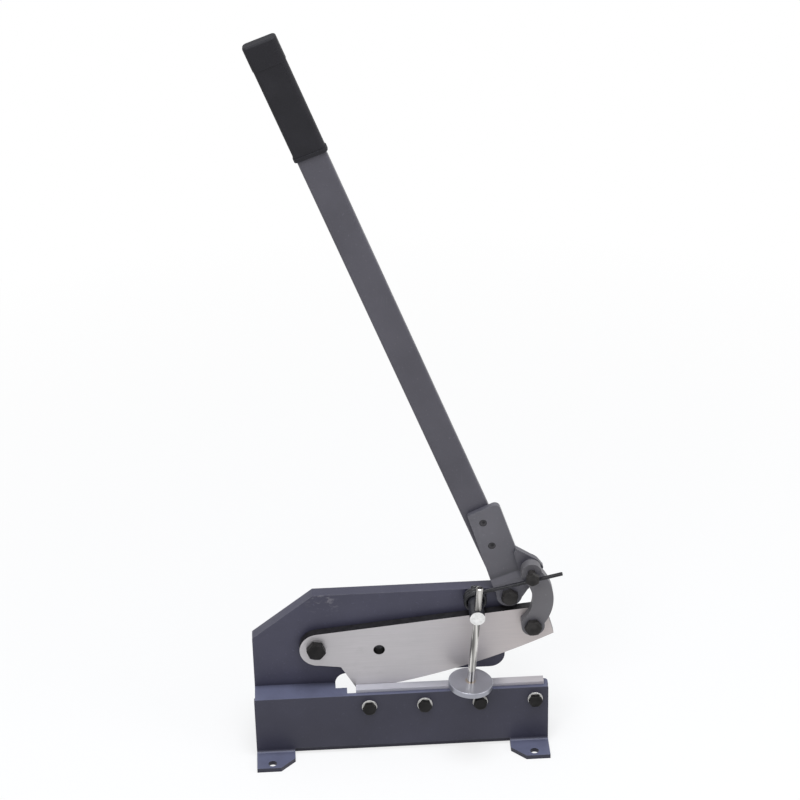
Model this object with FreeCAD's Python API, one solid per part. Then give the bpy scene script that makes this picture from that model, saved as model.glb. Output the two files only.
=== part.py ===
import FreeCAD, Part
import math
import os

Vector = FreeCAD.Vector

# Hand lever shear for sheet and round bar, in millimetres.
# +X runs along the blades towards the lever, +Y to the back, +Z up.
# The origin is the middle of the four bench bolt holes, on the bench surface.

# Base: two bent foot plates, a spacer block and the frame plate between them.
# Its length follows from the blades: the room left of them and the end stop right of them.
base_left_margin = 108.5
end_stop_thk = 4.5
ledge_height = 74.0
foot_plate_thk = 5.0
foot_bend_radius = 3.0
plate_corner_radius = 2.0
bench_hole_dia = 9.0
bench_hole_inset = 16.5
bench_hole_edge = 7.85
foot_tab_width = 41.0
foot_tab_reach = 28.5
foot_tab_chamfer = 15.5

# Frame plate, a C open to the right; heights marked rise are above the lower blade's edge
frame_thk = 14.0
frame_inset = 1.0
frame_chamfer_drop = 51.0
frame_chamfer_run = 65.5
lower_jaw_height = 40.0
throat_setback = 12.0
throat_rise = 7.7
throat_corner_radius = 12.0
arm_setback = 4.5
arm_corner_radius = 16.0
arm_above_pivot = 6.5
frame_edge_radius = 3.0

# Blades
blade_length = 200.0
lower_blade_thk = 10.0
lower_blade_height = 45.0
lower_blade_rise = 3.5
blade_recess_gap = 9.5
end_stop_radius = 3.8
end_stop_land = 0.5
shear_gap = 0.3
upper_blade_thk = 10.0
guide_gap = 0.4
bar_hole_dia = 12.0
bar_hole_inset = 26.0
bar_hole_rise = 44.0

# Upper blade outline, from the ends of the lower blade
blade_pivot_setback = 40.5
blade_pivot_rise = 49.0
blade_end_radius = 20.0
blade_end_shift = 2.5
blade_end_drop = 2.0
blade_tip_overhang = 11.0
blade_tip_drop = 17.2
blade_tip_depth = 35.4
blade_tip_slant = 9.5
cut_bulge = 8.4
cut_stock_run = 30.0
cut_stock_drop = 20.0
heel_inset = 2.0
heel_overlap = 7.1
heel_run = 17.0
heel_depth = 30.8
heel_corner_radius = 2.0
blade_corner_radius = 2.0

# Lever: pivot, two joggled cheeks, a tube and a rubber grip.
# Across and along are measured from the lever pivot on the leaning lever.
lever_pivot_inset = 35.5
lever_pivot_rise = 103.0
lever_lean = 20.55
cheek_thk = 6.0
cheek_boss_radius = 13.5
cheek_left = -11.8
tongue_top_left = -5.5
tongue_top_right = 29.5
tongue_low_right = 26.6
tongue_left_height = 108.3
tongue_right_height = 111.0
tongue_corner_radius = 6.0
ear_shoulder_height = 53.0
joggle_start = 18.0
joggle_length = 7.0
joggle_right = 19.3
tongue_lap = 3.0
tongue_heel_radius = 1.0
tongue_neck_drop = 6.0
tongue_neck_lap = 2.0
pad_neck_drop = 5.0
joggle_back_step = 2.5
ear_high_out = 9.1
ear_high_up = 3.5
ear_high_radius = 7.0
ear_low_out = 12.1
ear_low_down = 8.0
ear_low_radius = 3.0
pad_foot_across = 5.0
pad_foot_down = 12.3
strap_corner_height = 6.0
strap_corner_radius = 4.0
strap_foot_inset = 2.0
boss_radius = 15.0
tube_left = -12.0
tube_width = 30.0
tube_depth = 10.0
tube_wall = 2.0
tube_corner_radius = 2.6
tube_start = 31.0
tube_top = 671.0
grip_length = 125.0
grip_wall = 1.4
grip_cap = 2.0
grip_collar_length = 26.0
grip_collar_rise = 0.5
grip_lip_length = 4.0
grip_lip_rise = 0.9
grip_end_radius = 2.0
rivet_dia = 8.0
rivet_across = 4.8
rivet_height = 64.5
rivet_spacing = 30.0
rivet_lean = 3.05

# Link: a curved plate in front of the blade; its bolts are placed from the lever pivot
link_top_across = 33.4
link_top_along = 27.0
link_low_right = 23.8
link_low_down = 30.5
link_thk = 10.0
link_top_radius = 10.5
link_low_radius = 12.3
link_outer_low = 9.9
link_outer_bow = 22.3
link_inner_bow = 0.5
link_inner_radius = 37.1
link_bow_place = 0.51
link_spacer_dia = 15.0
slot_washer_dia = 28.0
slot_washer_thk = 2.0
bolt_play_left = 5.5
bolt_play_right = 4.5
bolt_play_down = 0.2
bolt_play_up = 3.9
bolt_play_gap = 0.6

# Hold-down: post, screw and round foot
post_inset = 72.0
post_below_top = 6.8
post_dia = 16.0
post_end_margin = 6.6
foot_clearance = 5.0
screw_dia = 8.0
screw_lean = 4.95
screw_above = 34.8
foot_gap = 12.1
foot_dia = 47.0
foot_thk = 6.5
foot_chamfer = 0.5
screw_end_ratio = 0.2

# Return spring on the post; its leg rests under the upper link bolt
wire_dia = 4.0
wire_sides = 12
coil_clearance = 0.3
coil_pitch = 4.4
coil_turns = 3
leg_overhang = 31.0
leg_rest_gap = 0.6
leg_stand_off = 4.4
knuckle_ratio = 0.52

# Bolts: nominal size, width across flats and head thickness
blade_bolt_dia = 8.0
blade_bolt_flats = 13.0
blade_bolt_head = 5.3
blade_bolt_inset_left = 13.5
blade_bolt_inset_right = 9.5
blade_bolt_drop = 18.5
blade_bolt_count = 4
washer_dia = 16.0
washer_thk = 1.6
pivot_bolt_dia = 12.0
pivot_bolt_flats = 18.0
pivot_bolt_head = 7.5
lever_bolt_dia = 10.0
lever_bolt_flats = 16.0
lever_bolt_head = 6.4
link_head_gap = 2.8
thread_end = 2.0
nut_ratio = 0.8
crown_ratio = 0.475
blade_bolt_short = 1.0

# Clearances
running_gap = 0.05
hole_gap = 0.1
side_gap = 0.3

# How far cutting shapes reach past what they cut
cut_margin = 1.0

# Layers from front to back
stack = foot_plate_thk + lower_blade_thk + shear_gap + upper_blade_thk + guide_gap
total_depth = stack + frame_thk + foot_plate_thk
y_front = -total_depth / 2
y_ledge_back = y_front + foot_plate_thk
y_shear = y_ledge_back + lower_blade_thk
y_blade_front = y_shear + shear_gap
y_blade_back = y_blade_front + upper_blade_thk
y_frame_front = y_front + stack
y_frame_back = y_frame_front + frame_thk
y_rear = y_frame_back + foot_plate_thk
y_middle = (y_frame_front + y_frame_back) / 2
y_cheek_back = y_frame_front - side_gap
y_cheek_front = y_cheek_back - cheek_thk
y_tongue_back = y_middle - tube_depth / 2
y_tongue_front = y_tongue_back - cheek_thk
y_link_back = y_blade_front - side_gap
y_link_front = y_link_back - link_thk
y_wire_at_bolt = y_link_front - leg_stand_off
y_link_head = y_wire_at_bolt - wire_dia / 2 - link_head_gap
y_screw = y_blade_front - foot_clearance - foot_dia / 2

# Lengths along the machine
base_length = base_left_margin + blade_length + end_stop_thk
half_base = base_length / 2
half_frame = half_base - frame_inset
blade_left = base_left_margin - half_base
blade_right = blade_left + blade_length
recess_left = blade_left - blade_recess_gap
throat_left = recess_left - throat_setback
lever_pivot_x = blade_right - lever_pivot_inset
arm_right = lever_pivot_x - arm_setback
bar_hole_x = blade_left + bar_hole_inset
heel_x = blade_left + heel_inset
blade_tip_x = blade_right + blade_tip_overhang
bench_hole_x = half_base - bench_hole_inset
bench_hole_y = -y_front + foot_tab_reach - bench_hole_edge

# Heights
lower_blade_top = ledge_height + lower_blade_rise
lower_blade_bottom = lower_blade_top - lower_blade_height
lever_pivot_z = lower_blade_top + lever_pivot_rise
frame_top = lever_pivot_z + arm_above_pivot
throat_top = lower_blade_top + throat_rise
heel_z = lower_blade_top - heel_overlap
bar_hole_z = lower_blade_top + bar_hole_rise
blade_bolt_height = lower_blade_top - blade_bolt_drop

# Pivots (x, z)
blade_pivot = (blade_left - blade_pivot_setback, lower_blade_top + blade_pivot_rise)
lever_pivot = (lever_pivot_x, lever_pivot_z)
link_low = (lever_pivot_x + link_low_right, lever_pivot_z - link_low_down)
post = (blade_right - post_inset, frame_top - post_below_top)
foot_drop = post[1] - lower_blade_top - foot_thk - foot_gap
blade_tip_z = link_low[1] - blade_tip_drop


def box(x0, x1, y0, y1, z0, z1):
    return Part.makeBox(x1 - x0, y1 - y0, z1 - z0, Vector(x0, y0, z0))


def rod(x, z, y0, y1, radius):
    """A cylinder along Y from y0 to y1."""
    return Part.makeCylinder(radius, y1 - y0, Vector(x, y0, z), Vector(0, 1, 0))


def fillet_points(before, corner, after, radius):
    """Start, middle and end of the arc that rounds one corner of an outline."""
    a = Vector(before[0] - corner[0], before[1] - corner[1], 0)
    b = Vector(after[0] - corner[0], after[1] - corner[1], 0)
    a.normalize()
    b.normalize()
    half = a.getAngle(b) / 2
    reach = radius / math.tan(half)
    bisector = a + b
    bisector.normalize()
    point = Vector(corner[0], corner[1], 0)
    middle = point + bisector * (radius / math.sin(half) - radius)
    return point + a * reach, middle, point + b * reach


def plate(corners, y0, y1):
    """A flat plate from y0 to y1 whose outline has corners (x, z) or (x, z, radius)."""
    edges = []
    ends = []
    count = len(corners)
    for i, corner in enumerate(corners):
        if len(corner) == 2 or corner[2] == 0:
            point = Vector(corner[0], y0, corner[1])
            ends.append((point, point))
            continue
        arc = fillet_points(corners[i - 1], corner, corners[(i + 1) % count], corner[2])
        start, middle, end = [Vector(p.x, y0, p.y) for p in arc]
        edges.append(Part.Arc(start, middle, end).toShape())
        ends.append((start, end))
    for i in range(count):
        start = ends[i][1]
        end = ends[(i + 1) % count][0]
        if start.distanceToPoint(end) > 1e-6:
            edges.append(Part.LineSegment(start, end).toShape())
    wire = Part.Wire(Part.__sortEdges__(edges))
    return Part.Face(wire).extrude(Vector(0, y1 - y0, 0))


def joined(shapes):
    result = shapes[0]
    if len(shapes) > 1:
        result = shapes[0].fuse(shapes[1:])
    return result.removeSplitter()


def mirrored_back(shape):
    """The copy behind the frame plate of something in front of it."""
    return shape.mirror(Vector(0, y_middle, 0), Vector(0, 1, 0))


def circle_through(p, q, r):
    """Centre and radius of the circle through three points (x, z)."""
    arc = Part.Arc(Vector(p[0], 0, p[1]), Vector(q[0], 0, q[1]), Vector(r[0], 0, r[1]))
    circle = arc.toShape().Curve
    return (circle.Center.x, circle.Center.z), circle.Radius


def hexagon(x, z, y0, y1, flats):
    radius = flats / math.sqrt(3)
    corners = []
    for i in range(6):
        angle = math.radians(30 + 60 * i)
        corners.append((x + radius * math.cos(angle), z + radius * math.sin(angle)))
    return plate(corners, y0, y1)


def crowned(shape, x, z, y_face, y_far, flats):
    """A hexagon with its outer corners turned down to a 30 degree cone at y_face."""
    flat_radius = flats * crown_ratio
    reach = y_far - y_face
    run = abs(reach) / math.tan(math.radians(30))
    direction = Vector(0, math.copysign(1, reach), 0)
    cone = Part.makeCone(flat_radius, flat_radius + run, abs(reach), Vector(x, y_face, z), direction)
    return shape.common(cone)


def hex_bolt(x, z, y_seat, y_end, dia, flats, head):
    """A hex bolt whose head lies in front of y_seat and whose shank ends at y_end."""
    shape = hexagon(x, z, y_seat - head, y_seat, flats)
    shape = crowned(shape, x, z, y_seat - head, y_seat, flats)
    return joined([shape, rod(x, z, y_seat, y_end, dia / 2)])


def hex_nut(x, z, y_seat, dia, flats):
    """A hex nut behind y_seat, its thread left as a plain hole."""
    height = dia * nut_ratio
    shape = hexagon(x, z, y_seat, y_seat + height, flats)
    shape = crowned(shape, x, z, y_seat + height, y_seat, flats)
    return shape.cut(rod(x, z, y_seat, y_seat + height, dia / 2 + hole_gap))


def foot_plate(side, y_face, height):
    """A bent plate on one face of the base, its two feet turned outwards; side -1 is the front."""
    t = foot_plate_thk
    bend = foot_bend_radius
    edge_height = t + bend
    y_inner = y_face - side * t
    y_low, y_high = sorted((y_inner, y_face))
    wall = plate(
        [(-half_base, edge_height), (half_base, edge_height),
         (half_base, height, plate_corner_radius), (-half_base, height, plate_corner_radius)],
        y_low, y_high)
    parts = [wall]
    y_tip = y_face + side * foot_tab_reach
    for end in (-1, 1):
        x_outer = end * half_base
        x_inner = x_outer - end * foot_tab_width
        x0, x1 = sorted((x_outer, x_inner))
        y0, y1 = sorted((y_inner, y_tip))
        tab = box(x0, x1, y0, y1, 0, edge_height)
        bend_axis = Vector(x0, y_face + side * bend, edge_height)
        relief = Part.makeCylinder(bend, x1 - x0, bend_axis, Vector(1, 0, 0))
        w0, w1 = sorted((y_face + side * bend, y_tip + side))
        over = joined([relief, box(x0, x1, w0, w1, t, edge_height + bend)])
        f0, f1 = sorted((y_face, y_face + side * bend))
        corner = box(x0, x1, f0, f1, edge_height, edge_height + bend)
        tab = tab.cut(over).cut(corner)
        outer = Part.makeCylinder(t + bend, x1 - x0, bend_axis, Vector(1, 0, 0))
        i0, i1 = sorted((y_inner - side, y_face + side * bend))
        bend_block = box(x0, x1, i0, i1, 0, edge_height)
        tab = tab.cut(bend_block.cut(outer))
        chamfer = [
            (x_inner - end, y_tip + side),
            (x_inner + end * foot_tab_chamfer, y_tip + side),
            (x_inner + end * foot_tab_chamfer, y_tip),
            (x_inner, y_tip - side * foot_tab_chamfer),
            (x_inner - end, y_tip - side * foot_tab_chamfer),
        ]
        wire = Part.makePolygon([Vector(x, y, -1) for x, y in chamfer + chamfer[:1]])
        tab = tab.cut(Part.Face(wire).extrude(Vector(0, 0, edge_height + 2)))
        hole = Part.makeCylinder(
            bench_hole_dia / 2, edge_height + 2,
            Vector(end * bench_hole_x, side * bench_hole_y, -1))
        parts.append(tab.cut(hole))
    return joined(parts)


def blade_bolt_xs():
    first = blade_left + blade_bolt_inset_left
    last = blade_right - blade_bolt_inset_right
    return [first + i * (last - first) / (blade_bolt_count - 1) for i in range(blade_bolt_count)]


def drilled(shape, x, z, y0, y1, radius):
    """The shape with a round hole along Y right through the layer from y0 to y1."""
    return shape.cut(rod(x, z, y0 - cut_margin, y1 + cut_margin, radius))


def front_plate():
    shape = foot_plate(-1, y_front, ledge_height)
    for x in blade_bolt_xs():
        shape = drilled(shape, x, blade_bolt_height, y_front, y_ledge_back, blade_bolt_dia / 2 + hole_gap)
    return shape


def rear_plate():
    return foot_plate(1, y_rear, lower_jaw_height)


def frame_plate():
    """C-shaped plate with the throat, the bar hole and the three pivots."""
    corners = [
        (-half_frame, 0),
        (half_frame, 0),
        (half_frame, lower_jaw_height, frame_edge_radius),
        (throat_left, lower_jaw_height, throat_corner_radius),
        (throat_left, throat_top, throat_corner_radius),
        (arm_right, throat_top, arm_corner_radius),
        (arm_right, frame_top),
        (-half_frame + frame_chamfer_run, frame_top, frame_edge_radius),
        (-half_frame, frame_top - frame_chamfer_drop, frame_edge_radius),
    ]
    shape = joined([
        plate(corners, y_frame_front, y_frame_back),
        rod(lever_pivot[0], lever_pivot[1], y_frame_front, y_frame_back, boss_radius)])
    holes = [
        (blade_pivot, pivot_bolt_dia / 2 + hole_gap),
        (lever_pivot, lever_bolt_dia / 2 + hole_gap),
        ((bar_hole_x, bar_hole_z), bar_hole_dia / 2),
    ]
    for (x, z), radius in holes:
        shape = drilled(shape, x, z, y_frame_front, y_frame_back, radius)
    return shape


def spacer_block():
    """Block between front and frame plate, stepped to seat the lower blade and clear the upper."""
    left = box(-half_frame, throat_left, y_ledge_back, y_frame_front, 0, ledge_height)
    nose = box(throat_left, recess_left, y_ledge_back, y_shear, lower_blade_bottom, ledge_height)
    bar = box(throat_left, half_frame, y_ledge_back, y_frame_front, 0, lower_blade_bottom)
    stop = box(blade_right, half_base, y_ledge_back, y_shear, lower_blade_bottom, ledge_height)
    radius = min(end_stop_radius, end_stop_thk - end_stop_land, lower_blade_thk - end_stop_land)
    stop = stop.makeFillet(radius, [e for e in stop.Edges if is_stop_corner(e)])
    return joined([left, nose, bar, stop])


def is_stop_corner(edge):
    """The upright outer corner at the back of the end stop."""
    low = edge.BoundBox
    upright = low.ZLength > 1 and low.XLength < 0.01 and low.YLength < 0.01
    return upright and abs(low.XMin - half_base) < 0.01 and abs(low.YMin - y_shear) < 0.01


def lower_blade():
    shape = box(blade_left, blade_right, y_ledge_back, y_shear, lower_blade_bottom, lower_blade_top)
    for x in blade_bolt_xs():
        shape = drilled(shape, x, blade_bolt_height, y_ledge_back, y_shear, blade_bolt_dia / 2 + hole_gap)
    return shape


def blade_bolt(x):
    y_seat = y_front - washer_thk
    y_end = y_shear - blade_bolt_short
    return hex_bolt(x, blade_bolt_height, y_seat, y_end,
                    blade_bolt_dia, blade_bolt_flats, blade_bolt_head)


def blade_washers():
    rings = []
    for x in blade_bolt_xs():
        ring = rod(x, blade_bolt_height, y_front - washer_thk, y_front, washer_dia / 2)
        hole = rod(x, blade_bolt_height, y_front - washer_thk, y_front, blade_bolt_dia / 2 + hole_gap)
        rings.append(ring.cut(hole))
    return Part.makeCompound(rings)


def link_slot():
    """Slot in the upper blade round the lower link bolt, hidden by the link and the wide washer."""
    radius = lever_bolt_dia / 2 + bolt_play_gap
    x0 = link_low[0] - bolt_play_left - radius
    x1 = link_low[0] + bolt_play_right + radius
    z0 = link_low[1] - bolt_play_down - radius
    z1 = link_low[1] + bolt_play_up + radius
    corners = [(x0, z0, radius), (x1, z0, radius), (x1, z1, radius), (x0, z1, radius)]
    return plate(corners, y_blade_front - cut_margin, y_blade_back + cut_margin)


def upper_blade():
    """Moving blade: round pivot end, straight back, slanted heel and a curved cutting edge."""
    end_x = blade_pivot[0] + blade_end_shift
    end_z = blade_pivot[1] - blade_end_drop
    top_right = (blade_tip_x - blade_tip_slant, blade_tip_z + blade_tip_depth)
    rise = math.atan2(top_right[1] - end_z, top_right[0] - end_x)
    slope = rise - math.asin(blade_end_radius / math.hypot(top_right[0] - end_x, top_right[1] - end_z))
    top_left = (end_x - blade_end_radius * math.sin(slope), end_z + blade_end_radius * math.cos(slope))
    heel = (heel_x, heel_z)
    tip = (blade_tip_x, blade_tip_z)
    chord = math.hypot(tip[0] - heel[0], tip[1] - heel[1])
    middle = ((heel[0] + tip[0]) / 2 + cut_bulge * (tip[1] - heel[1]) / chord,
              (heel[1] + tip[1]) / 2 - cut_bulge * (tip[0] - heel[0]) / chord)
    corners = [
        top_left,
        (end_x, end_z),
        (end_x, end_z - blade_end_radius),
        (heel_x - heel_run, heel_z + heel_depth, heel_corner_radius),
        heel,
        (heel_x + cut_stock_run, heel_z - cut_stock_drop),
        (blade_tip_x, heel_z),
        tip,
        (*top_right, blade_corner_radius),
    ]
    body = plate(corners, y_blade_front, y_blade_back)
    edge_centre, edge_radius = circle_through(heel, middle, tip)
    body = body.common(rod(*edge_centre, y_blade_front, y_blade_back, edge_radius))
    shape = joined([body, rod(end_x, end_z, y_blade_front, y_blade_back, blade_end_radius)])
    pivot_hole = pivot_bolt_dia / 2 + running_gap
    shape = drilled(shape, *blade_pivot, y_blade_front, y_blade_back, pivot_hole)
    shape = drilled(shape, bar_hole_x, bar_hole_z, y_blade_front, y_blade_back, bar_hole_dia / 2)
    return shape.cut(link_slot())


def blade_pivot_bolt():
    y_seat = y_blade_front - side_gap
    y_end = y_frame_back + pivot_bolt_dia * nut_ratio + thread_end
    return hex_bolt(*blade_pivot, y_seat, y_end, pivot_bolt_dia, pivot_bolt_flats, pivot_bolt_head)


def blade_pivot_nut():
    return hex_nut(*blade_pivot, y_frame_back, pivot_bolt_dia, pivot_bolt_flats)


def lever_placed(shape):
    """Moves a shape drawn upright round the lever pivot to the lever's raised position."""
    shape.translate(Vector(lever_pivot[0], 0, lever_pivot[1]))
    shape.rotate(Vector(lever_pivot[0], 0, lever_pivot[1]), Vector(0, 1, 0), -lever_lean)
    return shape


def in_machine(across, along):
    """A point of the raised lever as (x, z) of the machine."""
    lean = math.radians(lever_lean)
    x = lever_pivot[0] + across * math.cos(lean) - along * math.sin(lean)
    z = lever_pivot[1] + across * math.sin(lean) + along * math.cos(lean)
    return x, z


def joggled_cheek(pad, tongue):
    """A cheek whose pad runs beside the frame plate and whose tongue steps in to the thinner tube."""
    top = tongue_right_height + cut_margin
    back_start = joggle_start + joggle_back_step
    profile = [
        (y_cheek_front, 0),
        (y_cheek_back, 0),
        (y_cheek_back, back_start),
        (y_tongue_back, back_start + joggle_length),
        (y_tongue_back, top),
        (y_tongue_front, top),
        (y_tongue_front, joggle_start + joggle_length),
        (y_cheek_front, joggle_start),
    ]
    wire = Part.makePolygon([Vector(2 * cheek_left, y, z) for y, z in profile + profile[:1]])
    bend = Part.Face(wire).extrude(Vector(6 * boss_radius, 0, 0))
    bend = bend.common(plate(tongue, y_cheek_front, y_tongue_back))
    boss = rod(0, 0, y_cheek_front, y_cheek_back, cheek_boss_radius)
    shape = joined([plate(pad, y_cheek_front, y_cheek_back), boss, bend])
    shape = shape.cut(rod(0, 0, y_cheek_front, y_cheek_back, lever_bolt_dia / 2 + running_gap))
    for across, along in rivet_places():
        shape = shape.cut(rod(across, along, y_cheek_front, y_tongue_back, rivet_dia / 2 + hole_gap))
    return shape


def front_cheek():
    """The front cheek, with an ear for the link bolt and a tongue that is wider than the tube."""
    ear_x = link_top_across
    ear_z = link_top_along
    shoulder = (joggle_right + tongue_low_right) / 2
    pad = [
        (cheek_left, 0),
        (cheek_left, joggle_start),
        (joggle_right, joggle_start),
        (shoulder, ear_shoulder_height - pad_neck_drop),
        (tongue_low_right, ear_shoulder_height),
        (ear_x + ear_high_out, ear_z + ear_high_up, ear_high_radius),
        (ear_x + ear_low_out, ear_z - ear_low_down, ear_low_radius),
        (pad_foot_across, -pad_foot_down),
    ]
    tongue = [
        (cheek_left, 0),
        (joggle_right + tongue_lap, 0),
        (joggle_right + tongue_lap, joggle_start),
        (shoulder + tongue_lap, ear_shoulder_height - tongue_neck_drop),
        (tongue_low_right, ear_shoulder_height - tongue_neck_lap),
        (tongue_low_right, ear_shoulder_height),
        (tongue_top_right, tongue_right_height, tongue_corner_radius),
        (tongue_top_left, tongue_left_height, tongue_heel_radius),
        (cheek_left, joggle_start + joggle_length),
    ]
    shape = joggled_cheek(pad, tongue)
    hole = rod(ear_x, ear_z, y_cheek_front, y_tongue_back, blade_bolt_dia / 2 + running_gap)
    return lever_placed(shape.cut(hole))


def rear_cheek():
    """The rear cheek, a joggled strap no wider than the tube."""
    left = tube_left + tube_corner_radius
    right = tube_left + tube_width - tube_corner_radius
    top = tongue_left_height
    foot = cheek_boss_radius - strap_foot_inset
    pad = [(left, 0), (left, joggle_start), (right, joggle_start),
           (right, strap_corner_height, strap_corner_radius), (foot, 0)]
    tongue = [(left, 0), (foot, 0), (right, joggle_start),
              (right, top, tongue_corner_radius), (left, top, tongue_corner_radius)]
    return lever_placed(mirrored_back(joggled_cheek(pad, tongue)))


def rivet_places():
    """Both rivets as (across, along), in line with the leaning tongue."""
    lean = math.radians(rivet_lean)
    across = rivet_across + rivet_spacing * math.sin(lean)
    height = rivet_height + rivet_spacing * math.cos(lean)
    return [(rivet_across, rivet_height), (across, height)]


def rounded_bar(width, depth, radius, z0, z1):
    """A solid bar of rounded rectangular section, centred on the tube's axis."""
    x0 = tube_left + tube_width / 2 - width / 2
    shape = box(x0, x0 + width, y_middle - depth / 2, y_middle + depth / 2, z0, z1)
    upright = [e for e in shape.Edges if e.BoundBox.ZLength > 0.5 * (z1 - z0)]
    return shape.makeFillet(radius, upright)


def handle_tube():
    z0 = tube_start
    outer = rounded_bar(tube_width, tube_depth, tube_corner_radius, z0, tube_top)
    inner = rounded_bar(tube_width - 2 * tube_wall, tube_depth - 2 * tube_wall,
                        tube_corner_radius - tube_wall, z0 - cut_margin, tube_top + cut_margin)
    shape = outer.cut(inner)
    for across, along in rivet_places():
        shape = shape.cut(rod(across, along, y_middle - tube_depth, y_middle + tube_depth,
                              rivet_dia / 2 + hole_gap))
    return lever_placed(shape)


def handle_grip():
    """Moulded sleeve with a closed end, a thicker collar at the top and a lip at its mouth."""
    grip_bottom = tube_top - grip_length
    grip_top = tube_top + grip_cap
    width = tube_width + 2 * grip_wall
    depth = tube_depth + 2 * grip_wall
    radius = tube_corner_radius + grip_wall
    body = rounded_bar(width, depth, radius, grip_bottom, grip_top)
    collar = rounded_bar(width + 2 * grip_collar_rise, depth + 2 * grip_collar_rise,
                         radius + grip_collar_rise, grip_top - grip_collar_length, grip_top)
    end_edges = [e for e in collar.Edges if e.BoundBox.ZMin > grip_top - 0.01]
    collar = collar.makeFillet(grip_end_radius, end_edges)
    body = body.common(joined([
        collar,
        rounded_bar(width, depth, radius, grip_bottom, grip_top - grip_collar_length)]))
    lip = rounded_bar(width + 2 * grip_lip_rise, depth + 2 * grip_lip_rise,
                      radius + grip_lip_rise, grip_bottom, grip_bottom + grip_lip_length)
    bore = rounded_bar(tube_width, tube_depth, tube_corner_radius, grip_bottom - cut_margin, tube_top)
    return lever_placed(joined([body, collar, lip]).cut(bore))


def lever_rivet(across, along):
    y_back = 2 * y_middle - y_tongue_front
    return lever_placed(rod(across, along, y_tongue_front, y_back, rivet_dia / 2))


def lever_pivot_bolt():
    y_seat = y_cheek_front - side_gap
    y_nut = 2 * y_middle - y_seat
    y_end = y_nut + lever_bolt_dia * nut_ratio + thread_end
    return hex_bolt(*lever_pivot, y_seat, y_end, lever_bolt_dia, lever_bolt_flats, lever_bolt_head)


def lever_pivot_nut():
    y_seat = 2 * y_middle - (y_cheek_front - side_gap)
    return hex_nut(*lever_pivot, y_seat, lever_bolt_dia, lever_bolt_flats)


def front_link():
    """Curved link plate, hollow towards the lever pivot and bowed out to the right."""
    y0 = y_link_front
    y1 = y_link_back
    link_top = in_machine(link_top_across, link_top_along)
    dx = link_top[0] - link_low[0]
    dz = link_top[1] - link_low[1]
    length = math.hypot(dx, dz)
    along = (dx / length, dz / length)
    across = (dz / length, -dx / length)

    def at(s, t):
        return link_low[0] + along[0] * s + across[0] * t, link_low[1] + along[1] * s + across[1] * t

    middle = length * link_bow_place
    outer_centre, outer_radius = circle_through(
        at(0, link_outer_low), at(middle, link_outer_bow), at(length, link_top_radius))
    inner_edge = at(middle, link_inner_bow - link_inner_radius)
    body = plate([
        at(0, -link_low_radius), at(0, link_low_radius * 3), at(length, link_top_radius * 3),
        at(length, -link_top_radius),
    ], y0, y1)
    body = body.common(rod(*outer_centre, y0, y1, outer_radius))
    body = joined([
        body,
        rod(*link_low, y0, y1, link_low_radius),
        rod(*link_top, y0, y1, link_top_radius)])
    body = body.cut(rod(*inner_edge, y0, y1, link_inner_radius))
    body = body.cut(rod(*link_top, y0, y1, blade_bolt_dia / 2 + hole_gap))
    return body.cut(rod(*link_low, y0, y1, lever_bolt_dia / 2 + hole_gap))


def upper_link_bolt():
    """Bolt through link and ear; its head stands off so that the spring leg passes under it."""
    link_top = in_machine(link_top_across, link_top_along)
    y_end = y_cheek_back + blade_bolt_dia * nut_ratio + thread_end
    return hex_bolt(*link_top, y_link_head, y_end, blade_bolt_dia, blade_bolt_flats, blade_bolt_head)


def upper_link_nut():
    link_top = in_machine(link_top_across, link_top_along)
    return hex_nut(*link_top, y_cheek_back, blade_bolt_dia, blade_bolt_flats)


def link_spacers():
    """Ring on the upper link bolt that keeps the link clear of the ear."""
    x, z = in_machine(link_top_across, link_top_along)
    ring = rod(x, z, y_link_back + side_gap, y_cheek_front, link_spacer_dia / 2)
    return ring.cut(rod(x, z, y_link_back, y_cheek_front, blade_bolt_dia / 2 + running_gap))


def lower_link_bolt():
    y_end = y_blade_back + side_gap + slot_washer_thk + lever_bolt_dia * nut_ratio + thread_end
    return hex_bolt(*link_low, y_link_front, y_end, lever_bolt_dia, lever_bolt_flats, lever_bolt_head)


def lower_link_nut():
    """Nut with the wide washer that covers the slot at the back of the blade."""
    y_washer = y_blade_back + side_gap
    y_seat = y_washer + slot_washer_thk
    washer = rod(*link_low, y_washer, y_seat, slot_washer_dia / 2)
    washer = washer.cut(rod(*link_low, y_washer, y_seat, lever_bolt_dia / 2 + hole_gap))
    return joined([washer, hex_nut(*link_low, y_seat, lever_bolt_dia, lever_bolt_flats)])


def hold_down_post():
    y_end = y_screw - post_end_margin
    shape = rod(*post, y_end, y_frame_front, post_dia / 2)
    bore_start = Vector(post[0], y_screw, post[1] - post_dia)
    bore = Part.makeCylinder(screw_dia / 2 + running_gap, 2 * post_dia, bore_start)
    return shape.cut(leaned(bore))


def leaned(shape):
    shape.rotate(Vector(post[0], y_screw, post[1]), Vector(0, 1, 0), screw_lean)
    return shape


def hold_down_screw():
    length = foot_drop + screw_above
    shape = Part.makeCylinder(screw_dia / 2, length, Vector(post[0], y_screw, post[1] - foot_drop))
    top = [e for e in shape.Edges if e.BoundBox.ZMin > post[1] + screw_above - 0.01]
    return leaned(shape.makeFillet(screw_dia * screw_end_ratio, top))


def hold_down_foot():
    z_top = post[1] - foot_drop
    shape = Part.makeCylinder(foot_dia / 2, foot_thk, Vector(post[0], y_screw, z_top - foot_thk))
    rims = [e for e in shape.Edges if e.BoundBox.ZLength < 0.01]
    return leaned(shape.makeChamfer(foot_chamfer, rims))


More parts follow.
